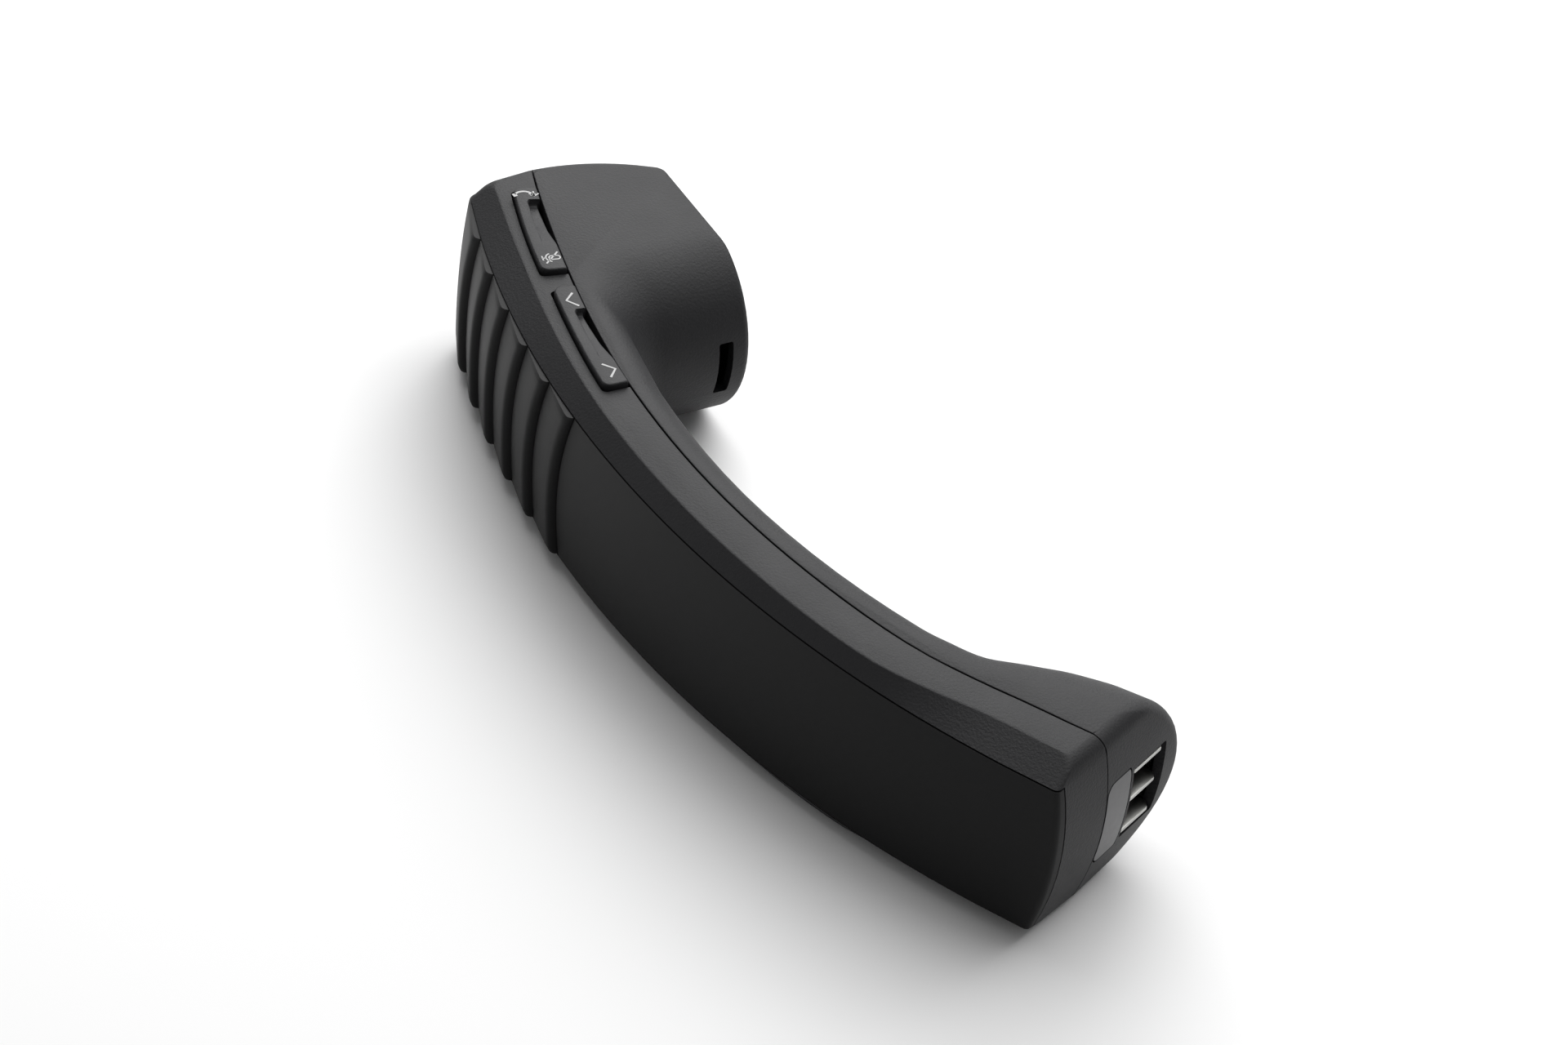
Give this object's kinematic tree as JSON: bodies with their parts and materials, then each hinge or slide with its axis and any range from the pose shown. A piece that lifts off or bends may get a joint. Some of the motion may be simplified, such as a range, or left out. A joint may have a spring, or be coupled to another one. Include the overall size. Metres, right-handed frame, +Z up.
{
  "type": "cordless telephone handset",
  "caption": "Curved black cordless desk-phone handset with a deep ear cup, low microphone cup, ridged back panel, rocking side keys and a charging window in its end.",
  "frame": {"origin": "middle of the box around the handset, at the flat side it lies on", "axes": "+X from the ear cup end to the microphone end, +Y from the curved back to the cups, +Z up through the side that holds the keys"},
  "size_m": [0.2184, 0.0678, 0.0465],
  "materials": {
    "case_black": "fine grained injection moulded ABS, soft sheen",
    "panel_satin_black": "very fine textured satin plastic",
    "key_black": "fine grained moulded plastic with light grey inlaid symbols",
    "moulded_black": "plain moulded plastic",
    "gloss_black": "smooth moulded plastic",
    "label_grey": "printed polyester film",
    "socket_ivory": "moulded nylon connector",
    "contact_nickel": "nickel plated strip",
    "bright_steel": "zinc plated steel",
    "battery_foil": "laminated aluminium pouch",
    "board_green": "solder mask on glass fibre board",
    "foam_dark": "open cell foam",
    "rubber_black": "soft moulded rubber",
    "acoustic_cloth": "fine woven polyester",
    "lead_red": "flexible insulated lead",
    "lead_black": "flexible insulated lead"
  },
  "bodies": {
    "handset": {"front_shell": "case_black", "rear_shell": "case_black", "back_panel": "panel_satin_black", "ear_cap": "moulded_black", "key_saddle_1": "moulded_black", "key_saddle_2": "moulded_black", "contact_carrier": "gloss_black", "tact_switch_1": "gloss_black", "tact_switch_2": "gloss_black", "tact_switch_3": "gloss_black", "tact_switch_4": "gloss_black", "processor_chip": "gloss_black", "memory_chip": "gloss_black", "rating_label": "label_grey", "battery_socket": "socket_ivory", "contact_blade_1": "contact_nickel", "contact_blade_2": "contact_nickel", "contact_blade_3": "contact_nickel", "radio_shield": "contact_nickel", "antenna": "contact_nickel", "key_pin_1": "contact_nickel", "key_pin_2": "contact_nickel", "earpiece_speaker": "bright_steel", "hook_magnet": "bright_steel", "mic_capsule": "bright_steel", "ballast_weight": "bright_steel", "housing_screw_1": "bright_steel", "housing_screw_2": "bright_steel", "housing_screw_3": "bright_steel", "battery": "battery_foil", "main_board": "board_green", "side_key_board": "board_green", "speaker_gasket": "foam_dark", "battery_pad": "foam_dark", "mic_boot": "rubber_black", "ear_cloth": "acoustic_cloth", "earpiece_lead": "lead_red", "battery_lead": "lead_red", "microphone_lead": "lead_black", "charging_lead": "lead_black"},
    "call_mute_key": {"call_mute_key": "key_black"},
    "volume_key": {"volume_key": "key_black"},
    "plunger_1": {"switch_plunger_1": "moulded_black"},
    "plunger_2": {"switch_plunger_2": "moulded_black"},
    "plunger_3": {"switch_plunger_3": "moulded_black"},
    "plunger_4": {"switch_plunger_4": "moulded_black"}
  },
  "joints": [
    {"name": "call_mute_rock", "type": "hinge", "parent": "handset", "child": "call_mute_key", "pos_m": [-0.0851, -0.00543, 0.0391], "axis": [0.3561, 0.9345, 0], "range_deg": [-1.4, 1.4], "stiffness_Nm_per_rad": 0.65},
    {"name": "volume_rock", "type": "hinge", "parent": "handset", "child": "volume_key", "pos_m": [-0.04892, -0.01658, 0.0391], "axis": [0.2072, 0.9783, 0], "range_deg": [-1.4, 1.4], "stiffness_Nm_per_rad": 0.65},
    {"name": "plunger_1_press", "type": "slide", "parent": "handset", "child": "plunger_1", "axis": [0, 0, 1], "range_m": [-0.00027, 0.00027]},
    {"name": "plunger_2_press", "type": "slide", "parent": "handset", "child": "plunger_2", "axis": [0, 0, 1], "range_m": [-0.00027, 0.00027]},
    {"name": "plunger_3_press", "type": "slide", "parent": "handset", "child": "plunger_3", "axis": [0, 0, 1], "range_m": [-0.00027, 0.00027]},
    {"name": "plunger_4_press", "type": "slide", "parent": "handset", "child": "plunger_4", "axis": [0, 0, 1], "range_m": [-0.00027, 0.00027]}
  ],
  "couplings": [
    {"joint": "plunger_1_press", "follows": "call_mute_rock", "m_per_rad": 0.01},
    {"joint": "plunger_2_press", "follows": "call_mute_rock", "m_per_rad": -0.01},
    {"joint": "plunger_3_press", "follows": "volume_rock", "m_per_rad": 0.01},
    {"joint": "plunger_4_press", "follows": "volume_rock", "m_per_rad": -0.01}
  ]
}
